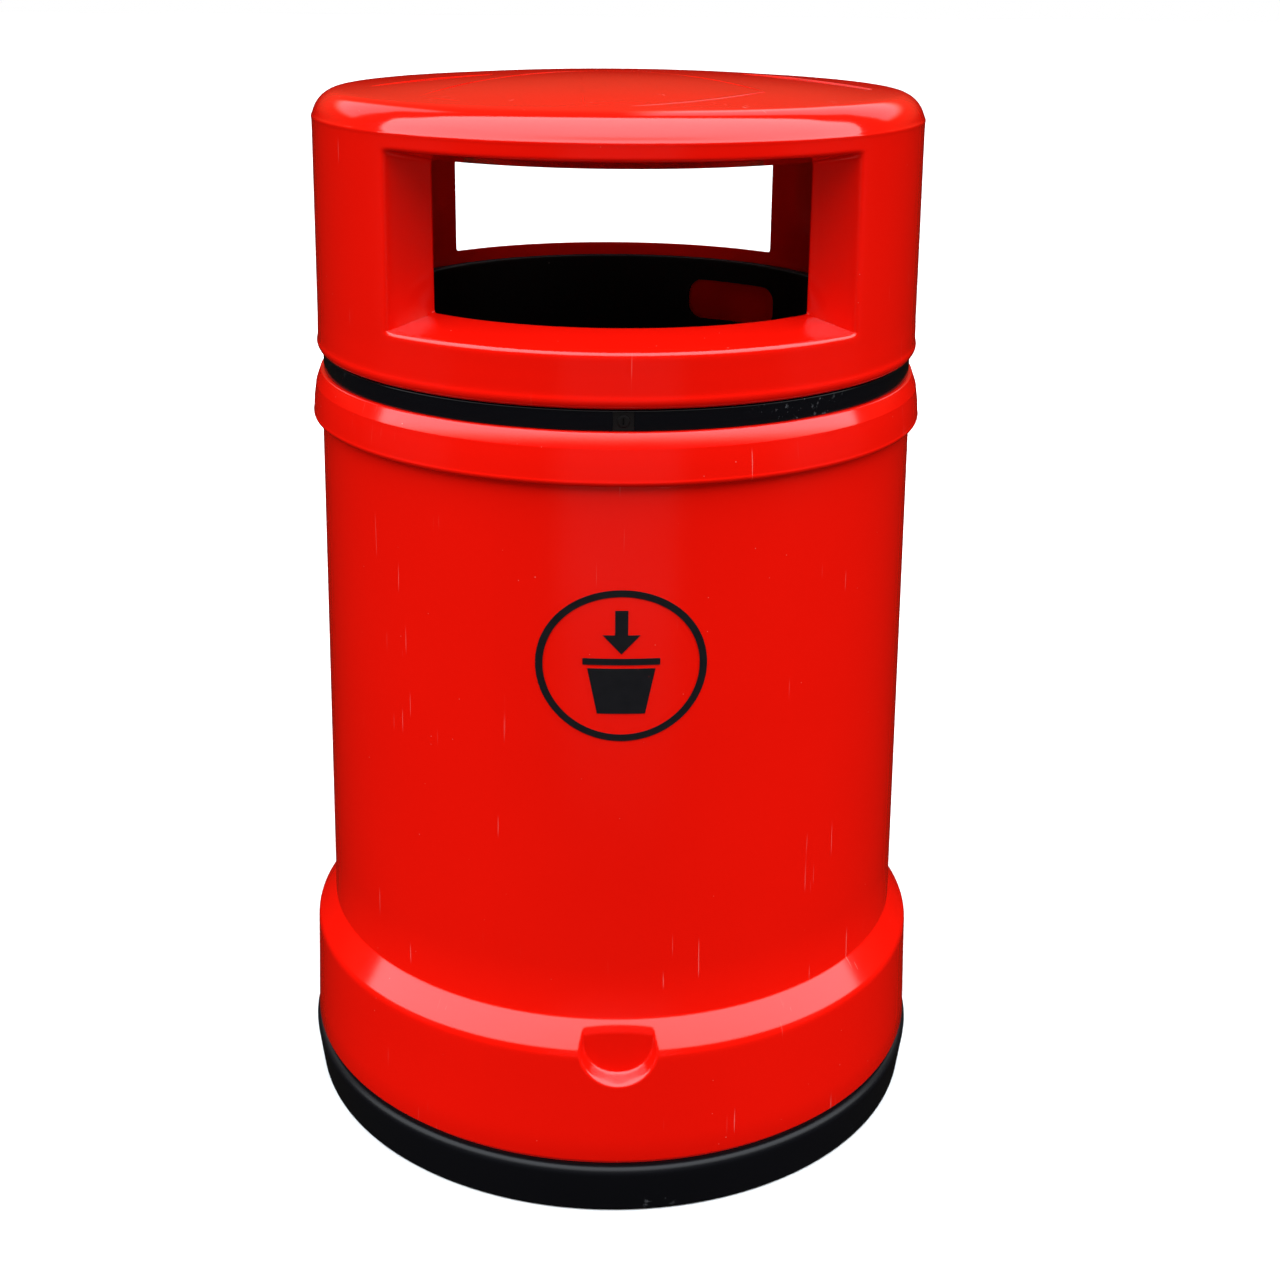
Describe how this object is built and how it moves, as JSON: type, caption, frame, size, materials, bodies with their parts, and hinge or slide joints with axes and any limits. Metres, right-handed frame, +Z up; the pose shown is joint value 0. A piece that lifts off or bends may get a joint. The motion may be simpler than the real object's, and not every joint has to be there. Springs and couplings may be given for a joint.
{
  "type": "hooded litter bin",
  "caption": "Cylindrical outdoor litter bin: hinged double-walled hood open front and rear, lift-out liner, black neck ring and ballasted base.",
  "frame": {"origin": "on the floor at the bin's centre line", "axes": "+Z up along the bin's axis; the front, with the badge, the notch and the lock, faces -Y"},
  "size_m": [0.6214, 0.6214, 1],
  "materials": {
    "red_plastic": "glossy moulded red polyethylene",
    "black_plastic": "satin moulded black, scuffed",
    "liner_plastic": "matt black moulding",
    "concrete": "cast, unfinished",
    "zinc_steel": "bright zinc plated",
    "badge_ink": "printed black film"
  },
  "bodies": {
    "bin_body": {"badge_arrow": "badge_ink", "badge_bin": "badge_ink", "badge_bin_rim": "badge_ink", "badge_ring": "badge_ink", "ballast_slab": "concrete", "base_bolt_1": "zinc_steel", "base_bolt_2": "zinc_steel", "base_bolt_3": "zinc_steel", "base_bolt_4": "zinc_steel", "base_nut_1": "zinc_steel", "base_nut_2": "zinc_steel", "base_nut_3": "zinc_steel", "base_nut_4": "zinc_steel", "base_plinth": "black_plastic", "base_washer_1": "zinc_steel", "base_washer_2": "zinc_steel", "base_washer_3": "zinc_steel", "base_washer_4": "zinc_steel", "body_shell": "red_plastic", "hinge_body_bracket": "zinc_steel", "hinge_body_screw_1": "zinc_steel", "hinge_body_screw_2": "zinc_steel", "hinge_body_screw_3": "zinc_steel", "hinge_body_screw_4": "zinc_steel", "hinge_pin": "zinc_steel", "lock_housing": "black_plastic", "lock_screw_1": "zinc_steel", "lock_screw_2": "zinc_steel", "neck_ring": "black_plastic", "neck_screw_1": "zinc_steel", "neck_screw_2": "zinc_steel", "neck_screw_3": "zinc_steel", "neck_screw_4": "zinc_steel", "neck_screw_5": "zinc_steel", "neck_screw_6": "zinc_steel"},
    "hood": {"hinge_hood_bracket": "zinc_steel", "hinge_hood_screw_1": "zinc_steel", "hinge_hood_screw_2": "zinc_steel", "hinge_hood_screw_3": "zinc_steel", "hinge_hood_screw_4": "zinc_steel", "hood_shell": "red_plastic", "keeper_screw_1": "zinc_steel", "keeper_screw_2": "zinc_steel", "lock_keeper": "zinc_steel"},
    "lock_cylinder": {"lock_plug": "zinc_steel", "lock_cam": "zinc_steel", "lock_nut": "zinc_steel"},
    "liner": {"inner_liner": "liner_plastic"}
  },
  "joints": [
    {"name": "hood_hinge", "type": "hinge", "parent": "bin_body", "child": "hood", "pos_m": [0, 0.292, 0.742], "axis": [-1, 0, 0], "range_deg": [0, 100]},
    {"name": "lock_turn", "type": "hinge", "parent": "bin_body", "child": "lock_cylinder", "pos_m": [0, -0.26, 0.7412], "axis": [0, 1, 0], "range_deg": [0, 90]},
    {"name": "liner_lift", "type": "slide", "parent": "bin_body", "child": "liner", "axis": [0, 0, 1], "range_m": [0, 0.15]}
  ]
}
